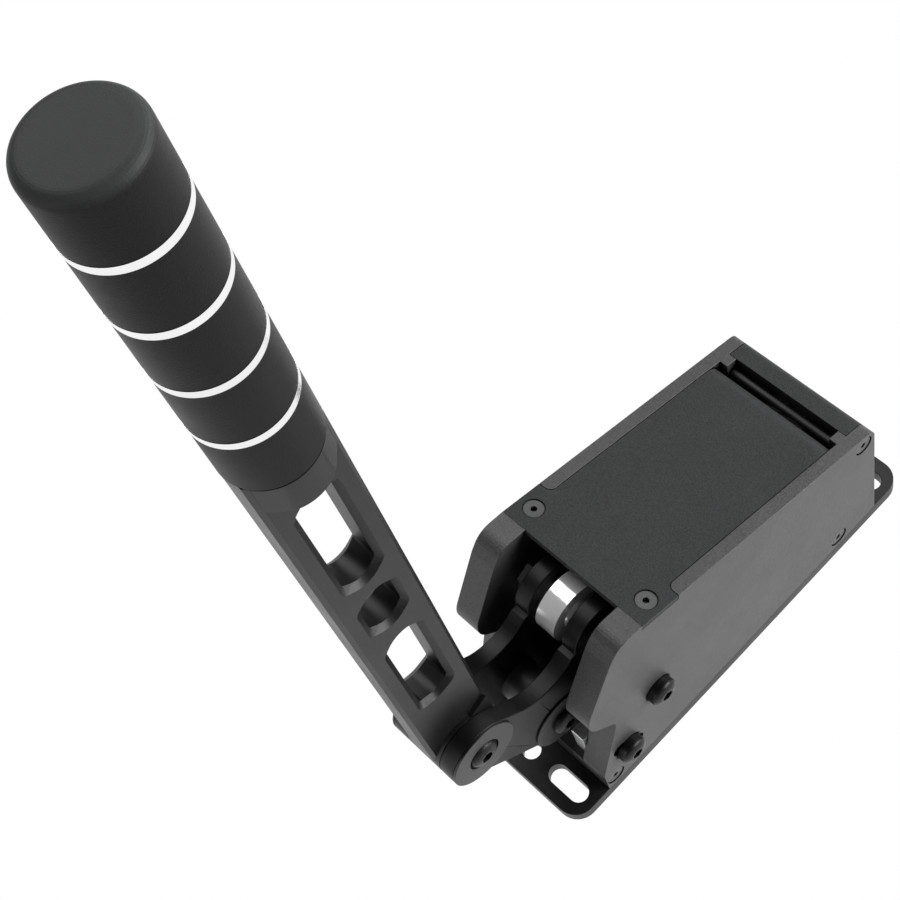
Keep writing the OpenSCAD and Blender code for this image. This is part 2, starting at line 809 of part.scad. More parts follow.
module pivot_sleeves() {
    color([0.6, 0.6, 0.62]) both_sides()
        tube_x(pivot, sleeve_r, shaft_r + thread_fit, crank_out + side_gap + washer_t, plate_in);
}

module thrust_washers() {
    color([0.85, 0.84, 0.8]) both_sides()
        tube_x(pivot, washer_r, shaft_r + thread_fit, crank_out + side_gap, crank_out + side_gap + washer_t);
}

module pivot_bolts() {
    color([0.06, 0.06, 0.07]) both_sides()
        translate([half_w + head_washer_t, pivot_y, pivot_z]) rotate([0, 90, 0])
            button_screw(button_r, button_h, bolt_r, head_washer_t + plate_t + bolt_in, button_hex);
}

// Washers under the heads of the pivot bolts and the stop bolts
module head_washers() {
    color([0.04, 0.04, 0.045]) both_sides() for (at = [pivot, stop])
        tube_x(at, button_r, bolt_r + hole_gap, half_w, half_w + head_washer_t);
}

module pivot_bushes() {
    color([0.72, 0.53, 0.28]) both_sides()
        tube_x(pivot, bush_r, shaft_r + running_fit, crank_in, crank_out);
}

module pivot_tube() {
    color([0.5, 0.5, 0.52]) tube_x(pivot, pivot_tube_r, shaft_r + running_fit, -crank_in, crank_in);
}

// Crank
hollow = pin + (pin_end_r + hollow_r) * [-cos(hollow_up), sin(hollow_up)];

module crank_body() {
    to_hollow = unit(hub, hollow);
    lean = atan2(to_hollow[1], to_hollow[0]) + acos(min(1, (crank_r + hollow_r) / norm(hollow - hub)));
    dir = [cos(lean), sin(lean)];
    difference() {
        union() {
            for (at = [hub, tie, pivot]) disc_x(at, crank_r, crank_in, crank_out);
            disc_x(pin, pin_end_r, crank_in, crank_out);
            along_x(crank_in, crank_out) limb(hub, tie, limb_r);
            along_x(crank_in, crank_out) limb(tie, pivot, web_r);
            along_x(crank_in, crank_out) limb(pivot, pin, pin_end_r - eps);
            along_x(crank_in, crank_out)
                polygon([hub, hub + (crank_r - eps) * dir, hollow - (hollow_r - eps) * dir, pin, pivot, tie]);
        }
        disc_x(hollow, hollow_r, crank_in - 1, crank_out + 1);
    }
}

module crank_plate() {
    difference() {
        crank_body();
        disc_x(pivot, bush_r + thread_fit, crank_in - 1, crank_out + 1);
        disc_x(hub, hub_bolt_r + hole_gap, crank_in - 1, crank_out + 1);
        disc_x(hub, hub_recess_r, crank_out - hub_recess_in, crank_out + 1);
        disc_x(tie, bolt_r + hole_gap, crank_in - 1, crank_out + 1);
        disc_x(pin, pin_r + thread_fit, crank_in - 1, crank_out + 1);
    }
}

module right_crank_plate() {
    color([0.24, 0.24, 0.25]) crank_plate();
}

module left_crank_plate() {
    color([0.22, 0.22, 0.23]) mirror([1, 0, 0]) crank_plate();
}

module hub_discs() {
    color([0.28, 0.28, 0.29]) both_sides()
        tube_x(hub, crank_r, hub_recess_r, crank_out, crank_out + hub_disc_t);
}

module hub_bolts() {
    seat = crank_out - hub_recess_in;
    color([0.06, 0.06, 0.07]) both_sides() translate([seat, hub_y, hub_z]) rotate([0, 90, 0])
        button_screw(button_r, button_h, hub_bolt_r, seat - bolt_end, button_hex);
}

module tie_spacer() {
    color([0.3, 0.3, 0.31]) tube_x(tie, tie_spacer_r, bolt_r + thread_fit, -crank_in, crank_in);
}

module tie_discs() {
    color([0.28, 0.28, 0.29]) both_sides()
        tube_x(tie, tie_disc_r, bolt_r + hole_gap, crank_out, crank_out + tie_disc_t);
}

module tie_bolts() {
    seat = crank_out + tie_disc_t;
    color([0.06, 0.06, 0.07]) both_sides() translate([seat, tie_y, tie_z]) rotate([0, 90, 0])
        button_screw(button_r, button_h, bolt_r, seat - bolt_end, button_hex);
}

module crank_pin() {
    color([0.5, 0.5, 0.52]) translate([crank_out, pin_y, pin_z]) rotate([0, 90, 0])
        button_screw(button_r, button_h, pin_r, 2 * crank_out + nut_h + 0.5, button_hex);
}

module crank_pin_nut() {
    color([0.2, 0.2, 0.21]) translate([-crank_out - nut_h, pin_y, pin_z]) rotate([0, 90, 0])
        hex_nut(nut_w, nut_h, pin_r + thread_fit);
}

module rod_end_ball() {
    color([0.75, 0.75, 0.77]) translate([0, pin_y, pin_z]) rotate([0, 90, 0]) rotate_extrude()
        intersection() {
            circle(r = ball_r);
            translate([pin_r + thread_fit, -ball_w / 2]) square([ball_r, ball_w]);
        }
}

// Collars on the crank pin, from the ball to each crank plate
module pin_spacers() {
    color([0.6, 0.6, 0.62]) both_sides() tube_x(pin, pin_collar_r, pin_r + thread_fit, ball_w / 2, crank_in);
}

// Lever
collar_top = hub_z + collar_up;
cheek_in = 0.8;

// A window's outline, inset from its edge on the blade's face. Each end is a shallow
// point of depth v, rounded so that it just reaches z0 or z1.
window_end_r = 8;
window_corner_r = 4;
function end_lift(w, v, r) = r * (norm([w, v]) / w - 1);

function window_outline(z0, z1, v0, v1, inset) =
    let (w = window_w / 2 - inset, r = window_end_r - inset, c = window_corner_r - inset)
    let (low = z0 + inset - end_lift(w, v0, r), high = z1 - inset + end_lift(w, v1, r))
    rounded([
        [hub_y - w, low + v0], [hub_y, low], [hub_y + w, low + v0],
        [hub_y + w, high - v1], [hub_y, high], [hub_y - w, high - v1]
    ], [c, r, c, c, r, c]);

window1_z = hub_z + window1_up;
window2_z = window1_z + window1_h + window2_gap;
window3_z = window2_z + window2_h + window3_gap;

// Each window's lower end and upper end, and the depth of its lower and upper point
windows = [
    [window1_z, window1_z + window1_h, 2.4, 8.5],
    [window2_z, window2_z + window2_h, 5.8, 6.2],
    [window3_z, collar_top - collar_h - window_top_gap, 6.2, 6.2]
];

module window_cut(w) {
    along_x(-blade_t, blade_t) polygon(window_outline(w[0], w[1], w[2], w[3], window_chamfer));
    both_sides() hull() {
        along_x(blade_t / 2 - window_chamfer, blade_t / 2)
            polygon(window_outline(w[0], w[1], w[2], w[3], window_chamfer));
        along_x(blade_t / 2, blade_t / 2 + eps) polygon(window_outline(w[0], w[1], w[2], w[3], 0));
    }
}

module lever_arm() {
    half = blade_w / 2;
    thick = blade_t / 2;
    collar_z = collar_top - collar_h;
    color([0.22, 0.22, 0.23]) difference() {
        union() {
            difference() {
                union() {
                    translate([0, hub_y, hub_z]) linear_extrude(collar_top - hub_z)
                        polygon([[-thick + blade_bevel, -half], [thick - blade_bevel, -half],
                            [thick, -half + blade_bevel], [thick, half - blade_bevel],
                            [thick - blade_bevel, half], [-thick + blade_bevel, half],
                            [-thick, half - blade_bevel], [-thick, -half + blade_bevel]]);
                    disc_x(hub, crank_r, -crank_in, crank_in);
                    along_x(-crank_in, crank_in)
                        polygon([[hub_y - crank_r, hub_z], [hub_y + crank_r, hub_z],
                            [hub_y + half - cheek_in, hub_z + cheek_rear],
                            [hub_y - half + cheek_in, hub_z + cheek_front]]);
                }
                for (w = windows) window_cut(w);
            }
            translate([0, hub_y, collar_z]) {
                cylinder(r1 = collar_r - collar_chamfer, r2 = collar_r, h = collar_chamfer);
                translate([0, 0, collar_chamfer]) cylinder(r = collar_r, h = collar_h - collar_chamfer);
            }
        }
        for (a = [45:90:315]) translate([0, hub_y, collar_z]) rotate([0, 0, a])
            translate([collar_flat, -far / 2, 0]) cube([far, far, collar_h + 1]);
        disc_x(hub, hub_bolt_r + thread_fit, -crank_in - 1, crank_in + 1);
        translate([0, hub_y, collar_top - core_stud_in])
            cylinder(r = core_stud_r + thread_fit, h = core_stud_in + 1);
    }
}

// Grip
ring_count = 4;
core_end_gap = 0.2;
stud_end_gap = 0.5;
grip_z = collar_top + grip_washer_t;
grip_top = grip_z + grip_len;
ring_z = grip_z + ring_low;
ring_pitch = (grip_len - ring_low - ring_high) / (ring_count - 1);
seg_top = ring_z + (ring_count - 1) * ring_pitch + ring_h / 2;
core_top = grip_top - cap_wall;

module grip_tube(z0, z1, r) {
    translate([0, hub_y, z0]) difference() {
        cylinder(r = r, h = z1 - z0);
        translate([0, 0, -1]) cylinder(r = core_r + thread_fit, h = z1 - z0 + 2);
    }
}

module grip_core() {
    color([0.6, 0.6, 0.62]) translate([0, hub_y, 0]) {
        translate([0, 0, collar_top - core_stud_in + stud_end_gap])
            cylinder(r = core_stud_r, h = core_stud_in);
        translate([0, 0, collar_top]) cylinder(r = core_r, h = core_top - collar_top);
    }
}

module grip_washer() {
    color([0.05, 0.05, 0.05]) grip_tube(collar_top, grip_z, grip_r - grip_washer_in);
}

module grip_lower_segment() {
    color([0.07, 0.07, 0.075]) grip_tube(grip_z, ring_z - ring_h / 2, grip_r);
}

module grip_segments() {
    color([0.07, 0.07, 0.075]) for (i = [0:ring_count - 2])
        grip_tube(ring_z + i * ring_pitch + ring_h / 2, ring_z + (i + 1) * ring_pitch - ring_h / 2, grip_r);
}

module grip_rings() {
    color([0.85, 0.85, 0.87]) for (i = [0:ring_count - 1])
        grip_tube(ring_z + i * ring_pitch - ring_h / 2, ring_z + i * ring_pitch + ring_h / 2,
            grip_r + ring_proud);
}

module grip_cap() {
    color([0.07, 0.07, 0.075]) translate([0, hub_y, seg_top]) difference() {
        rotate_extrude()
            polygon(concat([[0, 0], [grip_r, 0]],
                [for (i = [0:8]) [grip_r - cap_round + cap_round * cos(i * 11.25),
                    grip_top - seg_top - cap_round + cap_round * sin(i * 11.25)]],
                [[0, grip_top - seg_top]]));
        translate([0, 0, -1]) cylinder(r = core_r + thread_fit, h = core_top - seg_top + 1 + core_end_gap);
    }
}

// Travel stop
stop_bolt_in = 6.5;

module stop_shaft() {
    color([0.35, 0.35, 0.36]) difference() {
        disc_x(stop, stop_r, -stop_block_in, stop_block_in);
        both_sides()
            disc_x(stop, bolt_r + thread_fit, stop_block_in - stop_bolt_in - tap_end, stop_block_in + 1);
    }
}

module stop_blocks() {
    color([0.82, 0.82, 0.84]) both_sides() difference() {
        along_x(stop_block_in, plate_in) translate([stop_y - stop_block_len / 2, stop_z - stop_block_h / 2])
            square([stop_block_len, stop_block_h]);
        disc_x(stop, bolt_r + hole_gap, stop_block_in - 1, plate_in + 1);
    }
}

module stop_bolts() {
    color([0.06, 0.06, 0.07]) both_sides()
        translate([half_w + head_washer_t, stop_y, stop_z]) rotate([0, 90, 0])
            button_screw(button_r, button_h, bolt_r,
                head_washer_t + half_w - stop_block_in + stop_bolt_in, button_hex);
}

// Rod unit
module rod_end_housing() {
    color([0.85, 0.85, 0.87]) difference() {
        union() {
            translate([0, pin_y, pin_z]) rotate([0, 90, 0]) rotate_extrude() difference() {
                translate([0, -eye_w / 2]) square([eye_r, eye_w]);
                circle(r = ball_r + ball_gap);
            }
            on_rod() {
                translate([0, 0, eye_neck])
                    cylinder(r1 = eye_w / 2 - 0.2, r2 = eye_shank_r, h = eye_neck_len);
                translate([0, 0, eye_neck + eye_neck_len])
                    cylinder(r = eye_shank_r, h = eye_len - eye_hex_len - eye_neck - eye_neck_len);
                translate([0, 0, eye_len - eye_hex_len]) cylinder(r = eye_hex_r, h = eye_hex_len, $fn = 6);
            }
        }
        on_rod() translate([0, 0, rod_start - 0.5]) cylinder(r = rod_r + thread_fit, h = far);
    }
}

module jam_nut() {
    color([0.5, 0.5, 0.52]) on_rod() translate([0, 0, eye_len]) hex_nut(nut_w, nut_h, rod_r + thread_fit);
}

module pull_rod() {
    color([0.7, 0.7, 0.72]) on_rod() translate([0, 0, rod_start])
        cylinder(r = rod_r, h = rod_end - rod_start);
}

module spring_piston() {
    color([0.3, 0.3, 0.31]) on_rod() translate([0, 0, piston_start]) difference() {
        cylinder(r = piston_r, h = piston_t);
        translate([0, 0, -1]) cylinder(r = rod_r + thread_fit, h = piston_t + 2);
    }
}

module rod_nut() {
    color([0.5, 0.5, 0.52]) on_rod() translate([0, 0, piston_start + piston_t])
        hex_nut(nut_w, nut_h, rod_r + thread_fit);
}

// Compression spring, one open helix
spring_steps = 8;
spring_sides = 6;
spring_rings = spring_steps * spring_turns;
spring_rise = (spring_len - spring_wire) / spring_turns;

function spring_at(i) =
    [spring_r * cos(i * 360 / spring_steps), spring_r * sin(i * 360 / spring_steps),
        spring_wire / 2 + spring_rise * i / spring_steps];

function spring_ring(i) =
    let (o = spring_at(i), out = [cos(i * 360 / spring_steps), sin(i * 360 / spring_steps), 0])
    [for (j = [0:spring_sides - 1]) let (t = (j + 0.5) * 360 / spring_sides)
        o + spring_wire / 2 * (out * cos(t) + [0, 0, sin(t)])];

// Least gap between neighbouring turns, measured on the helix's points
spring_gap = min([for (i = [0:spring_rings - spring_steps])
    norm(spring_at(i + spring_steps) - spring_at(i)) - spring_wire]);
echo(spring_gap = spring_gap);

module spring() {
    points = [for (i = [0:spring_rings]) each spring_ring(i)];
    k = spring_sides;
    sides = [for (i = [0:spring_rings - 1], j = [0:k - 1]) let (m = (j + 1) % k)
        each [[i * k + j, i * k + m, (i + 1) * k + m], [i * k + j, (i + 1) * k + m, (i + 1) * k + j]]];
    first = [for (j = [1:k - 2]) [0, j + 1, j]];
    last = [for (j = [1:k - 2]) [spring_rings * k, spring_rings * k + j, spring_rings * k + j + 1]];
    color([0.75, 0.2, 0.15]) on_rod() translate([0, 0, spring_start])
        polyhedron(points, concat(sides, first, last));
}

module barrel() {
    color([0.2, 0.2, 0.22]) on_rod() translate([0, 0, barrel_start]) difference() {
        cylinder(r = barrel_r, h = barrel_len);
        translate([0, 0, -1]) cylinder(r = barrel_r - barrel_wall, h = barrel_len + 2);
    }
}

module barrel_front_cap() {
    color([0.4, 0.4, 0.42]) on_rod() difference() {
        union() {
            translate([0, 0, barrel_start - cap_flange]) cylinder(r = barrel_r, h = cap_flange);
            translate([0, 0, barrel_start]) cylinder(r = barrel_r - barrel_wall - thread_fit, h = cap_in);
        }
        cylinder(r = rod_r + running_fit, h = far);
    }
}

rear_neck_w = rear_eye_w - 1;

module barrel_rear_eye() {
    color([0.4, 0.4, 0.42]) difference() {
        union() {
            on_rod() {
                translate([0, 0, barrel_end - rear_cap_in])
                    cylinder(r = barrel_r - barrel_wall - thread_fit, h = rear_cap_in + 1);
                translate([0, 0, barrel_end]) cylinder(r = barrel_r, h = rear_cap_t);
                translate([-rear_neck_w / 2, -rear_neck_r, barrel_end + 1])
                    cube([rear_neck_w, 2 * rear_neck_r, rod_span - barrel_end - 1]);
            }
            disc_x(anchor, rear_eye_r, -rear_eye_w / 2, rear_eye_w / 2);
        }
        disc_x(anchor, anchor_r + running_fit, -far, far);
    }
}

// Rear anchor on the load cell
floor_gap = 0.5;
clevis_cheek = (cell_w - rear_eye_w - 2 * side_gap) / 2;
clevis_front = 5.4;
clevis_y = anchor_y - clevis_front;
clevis_floor = anchor_z - rear_eye_r - floor_gap;
clevis_web = 3;
clevis_z = clevis_floor - clevis_web;
anchor_pin_out = 1;
cell_screw_x = (cell_w - clevis_cheek) / 2;

module anchor_clevis() {
    color([0.35, 0.35, 0.37]) difference() {
        translate([-cell_w / 2, clevis_y, clevis_z])
            cube([cell_w, cell_y - clevis_y, cell_top - clevis_z]);
        translate([-rear_eye_w / 2 - side_gap, clevis_y - 1, clevis_floor])
            cube([rear_eye_w + 2 * side_gap, far, far]);
        disc_x(anchor, anchor_r + thread_fit, -far, far);
        at_cell_screws() translate([0, 0, -far / 2]) cylinder(r = m3_r + thread_fit, h = far);
    }
}

module anchor_pin() {
    color([0.7, 0.7, 0.72]) disc_x(anchor, anchor_r, -cell_w / 2 - anchor_pin_out,
        cell_w / 2 + anchor_pin_out);
}

cell_bore_r = 2.8;
cell_bore_z = 5;
cell_slot = 2;

module load_cell() {
    cell_mid = (base_t + block_h + clevis_z) / 2;
    cell_bottom = base_t + floor_gap;
    color([0.78, 0.78, 0.8]) difference() {
        translate([-cell_w / 2, cell_y, cell_bottom]) cube([cell_w, cell_t, cell_top - cell_bottom]);
        for (s = [-1, 1]) translate([-cell_w, cell_y + cell_t / 2, cell_mid + s * cell_bore_z])
            rotate([0, 90, 0]) cylinder(r = cell_bore_r, h = 2 * cell_w);
        translate([-cell_w, cell_y + cell_t / 2 - cell_slot / 2, cell_mid - cell_bore_z])
            cube([2 * cell_w, cell_slot, 2 * cell_bore_z]);
        at_cell_screws() translate([0, 0, -far / 2]) cylinder(r = m3_r + hole_gap, h = far);
    }
}

cell_screw_z = [base_t + block_h / 2, (clevis_z + cell_top) / 2];

// Screws from the cell's rear face, into the block and into the clevis cheeks
module at_cell_screws() {
    for (s = [-1, 1], z = cell_screw_z)
        translate([s * cell_screw_x, cell_y + cell_t, z]) rotate([-90, 0, 0]) children();
}

// Circuit board, standoffs and socket
board_holes = [for (x = [-1, 1], y = [-1, 1])
    [x * (board_w / 2 - board_hole_in), board_y + y * (board_len / 2 - board_hole_in)]];

chip_w = 12;
chip_h = 1.8;
plug_w = 16;
plug_len = 8;
plug_h = 6;
can_r = 2.5;
can_x = 10;
can_front = 17;

module circuit_board() {
    color([0.05, 0.3, 0.15]) difference() {
        union() {
            translate([-board_w / 2, board_y - board_len / 2, board_z]) cube([board_w, board_len, board_t]);
            translate([-chip_w / 2, board_y - chip_w / 2, board_z]) cube([chip_w, chip_w, board_t + chip_h]);
            translate([-plug_w / 2, board_y + board_len / 2 - plug_len - 1, board_z])
                cube([plug_w, plug_len, board_t + plug_h]);
            for (s = [-1, 1]) translate([s * can_x, board_y - can_front, board_z])
                cylinder(r = can_r, h = board_t + plug_h);
        }
        for (at = board_holes) translate([at[0], at[1], board_z - 1])
            cylinder(r = m3_r + hole_gap, h = board_t + 2);
    }
}

module board_standoffs() {
    color([0.75, 0.7, 0.4]) for (at = board_holes) translate([at[0], at[1], base_t]) difference() {
        cylinder(r = m3_head_r, h = standoff_h, $fn = 6);
        translate([0, 0, 1]) cylinder(r = m3_r + thread_fit, h = standoff_h);
    }
}

module board_screws() {
    color([0.5, 0.5, 0.52]) for (at = board_holes) translate([at[0], at[1], board_z + board_t])
        button_screw(m3_head_r, m3_head_h, m3_r, board_t + standoff_h - 1.5, m3_hex);
}

module data_socket() {
    depth = 15;
    port_depth = 10;
    flange = 1;
    back = panel_y + panel_t + flange;
    port_w = socket_w - 3.4;
    port_h = socket_h - 4.4;
    color([0.08, 0.08, 0.08]) difference() {
        union() {
            translate([socket_x - socket_w / 2, back - depth, socket_z - socket_h / 2])
                cube([socket_w, depth, socket_h]);
            translate([socket_x - socket_w / 2 - flange, back - flange, socket_z - socket_h / 2 - flange])
                cube([socket_w + 2 * flange, flange, socket_h + 2 * flange]);
        }
        translate([socket_x - port_w / 2, back - port_depth, socket_z - port_h / 2])
            cube([port_w, port_depth + 1, port_h]);
    }
}

module cell_screws() {
    color([0.3, 0.3, 0.32]) at_cell_screws()
        button_screw(m3_head_r, m3_head_h, m3_r, cell_t + cell_screw_in, m3_hex);
}

base_plate();
left_side_plate();
right_side_plate();
top_cover();
cover_screws();
rear_crossbar();
cover_rail();
rear_panel();
front_cross_block();
rear_cross_block();
side_screws();
base_screws();
pivot_shaft();
pivot_sleeves();
thrust_washers();
pivot_bolts();
head_washers();
stop_shaft();
stop_blocks();
stop_bolts();
load_cell();
cell_screws();
anchor_clevis();
anchor_pin();
circuit_board();
board_standoffs();
board_screws();
data_socket();
lever_arm();
left_crank_plate();
right_crank_plate();
hub_discs();
hub_bolts();
tie_spacer();
tie_discs();
tie_bolts();
pivot_bushes();
pivot_tube();
crank_pin();
crank_pin_nut();
pin_spacers();
rod_end_ball();
grip_core();
grip_washer();
grip_lower_segment();
grip_segments();
grip_rings();
grip_cap();
rod_end_housing();
jam_nut();
pull_rod();
spring_piston();
rod_nut();
spring();
barrel();
barrel_front_cap();
barrel_rear_eye();
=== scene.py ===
import math

import bpy
from mathutils import Euler, Matrix, Vector


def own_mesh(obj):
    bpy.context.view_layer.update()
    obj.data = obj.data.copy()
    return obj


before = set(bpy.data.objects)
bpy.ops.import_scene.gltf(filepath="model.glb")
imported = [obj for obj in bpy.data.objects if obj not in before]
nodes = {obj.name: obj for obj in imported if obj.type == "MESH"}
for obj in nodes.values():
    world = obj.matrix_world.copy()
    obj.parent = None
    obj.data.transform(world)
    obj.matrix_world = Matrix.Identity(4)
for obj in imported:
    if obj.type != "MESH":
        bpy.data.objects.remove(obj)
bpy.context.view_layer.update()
scene = bpy.context.scene

# Lengths are in metres, angles in degrees and lamps in watts


# Shader nodes
def fresh_tree(owner):
    owner.use_nodes = True
    owner.node_tree.nodes.clear()
    return owner.node_tree


def link(tree, a, b):
    tree.links.new(a, b)


def node(tree, kind, **values):
    """A new shader node, with each value set on the input of that name or else on the node."""
    n = tree.nodes.new(kind)
    for key, value in values.items():
        if key in n.inputs.keys():
            n.inputs[key].default_value = value
        else:
            setattr(n, key, value)
    return n


def ramp(tree, value, low, high, start=0.0, end=1.0):
    """start where value is low or less, end where it is high or more, and even between."""
    r = node(tree, "ShaderNodeMapRange")
    r.inputs["From Min"].default_value = low
    r.inputs["From Max"].default_value = high
    r.inputs["To Min"].default_value = start
    r.inputs["To Max"].default_value = end
    link(tree, value, r.inputs["Value"])
    return r.outputs["Result"]


def mixed(tree, share, first, second):
    """The colour first where share is 0 and second where it is 1. Each is three numbers or a socket."""
    mix = node(tree, "ShaderNodeMix", data_type="RGBA")
    link(tree, share, mix.inputs["Factor"])
    for side, colour in (("A", first), ("B", second)):
        if isinstance(colour, tuple):
            mix.inputs[side].default_value = (*colour, 1)
        else:
            link(tree, colour, mix.inputs[side])
    return mix.outputs["Result"]


def seen_by(tree, *rays):
    """1 for rays of the kinds named and 0 for all others."""
    path = node(tree, "ShaderNodeLightPath")
    seen = path.outputs[f"Is {rays[0]} Ray"]
    for ray in rays[1:]:
        either = node(tree, "ShaderNodeMath", operation="MAXIMUM")
        link(tree, seen, either.inputs[0])
        link(tree, path.outputs[f"Is {ray} Ray"], either.inputs[1])
        seen = either.outputs[0]
    return seen


# Surfaces: broad clouds for tone and gloss, fine grain for relief and speckle
CLOUDS_PER_METRE = 34.0
CLOUD_DETAIL = 4.0
GRAIN_DETAIL = 2.0
NOISE_ROUGHNESS = 0.6
# Noise values between which the tone and the gloss go from one end to the other
TONE_CLOUDS = (0.3, 0.7)
TONE_GRAIN = (0.35, 0.65)
GLOSS_CLOUDS = (0.25, 0.75)
# Relief as a share of the grain's size
GRAIN_DEPTH = 0.35
SPECULAR_LEVEL = 0.5
COAT_ROUGHNESS = 0.12
# Cosine of the angle to the end's axis, from none of the end's look, its painted light, to all of it
END_PAINTED_LIGHT_FACING = (0.0, 0.7)
# Painted shade in gaps: the tone painted at the bottom of a gap, and how open a place is from that to its
# full tone
PAINTED_SHADE_COLOUR = (0.001, 0.001, 0.001)
PAINTED_SHADE_OPEN = (0.7, 0.95)
PAINTED_SHADE_SAMPLES = 6
ROUND_SAMPLES = 4


def noise(tree, coords, scale, detail, stretch=(1, 1, 1)):
    mapping = node(tree, "ShaderNodeMapping")
    mapping.inputs["Scale"].default_value = stretch
    link(tree, coords, mapping.inputs["Vector"])
    n = node(tree, "ShaderNodeTexNoise", Scale=scale, Detail=detail, Roughness=NOISE_ROUGHNESS)
    link(tree, mapping.outputs[0], n.inputs["Vector"])
    return n.outputs["Fac"]


def uneven_tone(tree, colour, vary, speckle, cloud, fine):
    """colour, darker and lighter by the share vary, in clouds or, by the share speckle, in fine grain."""
    blend = node(tree, "ShaderNodeMix", data_type="FLOAT")
    blend.inputs["Factor"].default_value = speckle
    link(tree, ramp(tree, cloud, *TONE_CLOUDS), blend.inputs["A"])
    link(tree, ramp(tree, fine, *TONE_GRAIN), blend.inputs["B"])
    dark = tuple(c * (1 - vary) for c in colour)
    light = tuple(c * (1 + vary) for c in colour)
    return mixed(tree, blend.outputs["Result"], dark, light)


def material(name, colour, rough, metallic=0.0, ior=1.5, coat=0.0, vary=0.12, speckle=0.0, rough_vary=0.06,
             grain=0.15, grain_size=0.0004, brush=(1, 1, 1), round_r=0.0, painted_shade_width=0.0, end=None):
    """A surface of uneven tone and gloss with fine grain, which brush stretches into lines.

    round_r is the radius by which its shading rounds the edges, and gaps up to the painted shade width are
    painted dark as shade, with their gloss taken down too.
    end gives the colour and ior of its faces that look along an axis; that colour is painted light."""
    m = bpy.data.materials.new(name)
    t = fresh_tree(m)
    out = node(t, "ShaderNodeOutputMaterial")
    surface = node(t, "ShaderNodeBsdfPrincipled")
    link(t, surface.outputs[0], out.inputs["Surface"])
    inputs = surface.inputs
    inputs["Metallic"].default_value = metallic
    inputs["Specular IOR Level"].default_value = SPECULAR_LEVEL
    inputs["IOR"].default_value = ior
    inputs["Coat Weight"].default_value = coat
    inputs["Coat Roughness"].default_value = COAT_ROUGHNESS

    place = node(t, "ShaderNodeTexCoord")
    cloud = noise(t, place.outputs["Object"], CLOUDS_PER_METRE, CLOUD_DETAIL)
    fine = noise(t, place.outputs["Object"], 1 / grain_size, GRAIN_DETAIL, brush)
    tone = uneven_tone(t, colour, vary, speckle, cloud, fine)

    # Painted light: faces that look along the end's axis take its lighter colour, and its ior
    if end:
        facing = node(t, "ShaderNodeVectorMath", operation="DOT_PRODUCT")
        facing.inputs[1].default_value = end["axis"]
        link(t, place.outputs["Normal"], facing.inputs[0])
        share = ramp(t, facing.outputs["Value"], *END_PAINTED_LIGHT_FACING)
        tone = mixed(t, share, tone, end["colour"])
        link(t, ramp(t, share, 0.0, 1.0, ior, end["ior"]), inputs["IOR"])

    # Painted shade: gaps and grooves are painted dark and lose their gloss by how closed in they are
    if painted_shade_width > 0:
        near = node(t, "ShaderNodeAmbientOcclusion", samples=PAINTED_SHADE_SAMPLES, Distance=painted_shade_width)
        openness = ramp(t, near.outputs["AO"], *PAINTED_SHADE_OPEN)
        tone = mixed(t, openness, PAINTED_SHADE_COLOUR, tone)
        link(t, ramp(t, openness, 0.0, 1.0, 0.0, SPECULAR_LEVEL), inputs["Specular IOR Level"])

    link(t, tone, inputs["Base Color"])
    link(t, ramp(t, cloud, *GLOSS_CLOUDS, rough - rough_vary, rough + rough_vary), inputs["Roughness"])

    bump = node(t, "ShaderNodeBump", Strength=grain, Distance=grain_size * GRAIN_DEPTH)
    link(t, fine, bump.inputs["Height"])
    if round_r > 0:
        bevel = node(t, "ShaderNodeBevel", samples=ROUND_SAMPLES, Radius=round_r)
        link(t, bevel.outputs[0], bump.inputs["Normal"])
    link(t, bump.outputs[0], inputs["Normal"])
    return m


# Black anodised aluminium, in copies whose differing tones are painted light and shade: lighter on the side
# plates and cover, darker on the arm, crank and base, and between on the discs
ARM = material("anodised_arm", (0.006, 0.0062, 0.0068), 0.40, ior=1.38,
               grain=0.4, vary=0.4, speckle=0.7)
CRANK = material("anodised_crank", (0.005, 0.0051, 0.0055), 0.40, ior=1.32,
                 grain=0.4, vary=0.4, speckle=0.7)
DISC = material("anodised_disc", (0.010, 0.0103, 0.011), 0.36, ior=1.42,
                grain=0.3, vary=0.4, speckle=0.7)
BASE = material("anodised_base", (0.005, 0.0052, 0.0056), 0.42, ior=1.40,
                grain=0.4, vary=0.4, speckle=0.7)
# The side plates' seams and screw grooves are painted dark as shade
SIDE = material("anodised_side", (0.036, 0.0364, 0.0372), 0.44,
                grain=0.6, grain_size=0.0006, vary=0.45, speckle=0.75, round_r=0.0005, painted_shade_width=0.0012)
COVER = material("anodised_cover", (0.025, 0.0258, 0.0266), 0.50, ior=1.25,
                 grain=0.6, grain_size=0.0006, vary=0.35, speckle=0.75)
GRIP = material("grip_black", (0.005, 0.0051, 0.0055), 0.42, ior=1.22,
                grain=0.5, vary=0.4, speckle=0.7)
# The cap's top is a little duller than its side, and painted lighter as painted light from above
GRIP_CAP_PAINTED_TOP = material("grip_cap", (0.005, 0.0051, 0.0055), 0.45, ior=1.22,
               grain=0.5, vary=0.4, speckle=0.7,
               end={"axis": (0, 0, 1), "colour": (0.038, 0.039, 0.0396), "ior": 1.2})
BLOCK = material("machined_dark", (0.028, 0.028, 0.03), 0.38,
                 grain=0.2, grain_size=0.0006, brush=(1, 14, 14))

# Fasteners
OXIDE = material("black_oxide", (0.006, 0.006, 0.0064), 0.32, ior=1.3,
                 grain=0.6, grain_size=0.0006, vary=0.3, rough_vary=0.12)
# The grooves round the screw heads are painted dark as shade
SCREW = material("screw_grey", (0.060, 0.061, 0.063), 0.40, metallic=0.25,
                 grain=0.5, grain_size=0.0005, vary=0.25, rough_vary=0.12, painted_shade_width=0.0008)
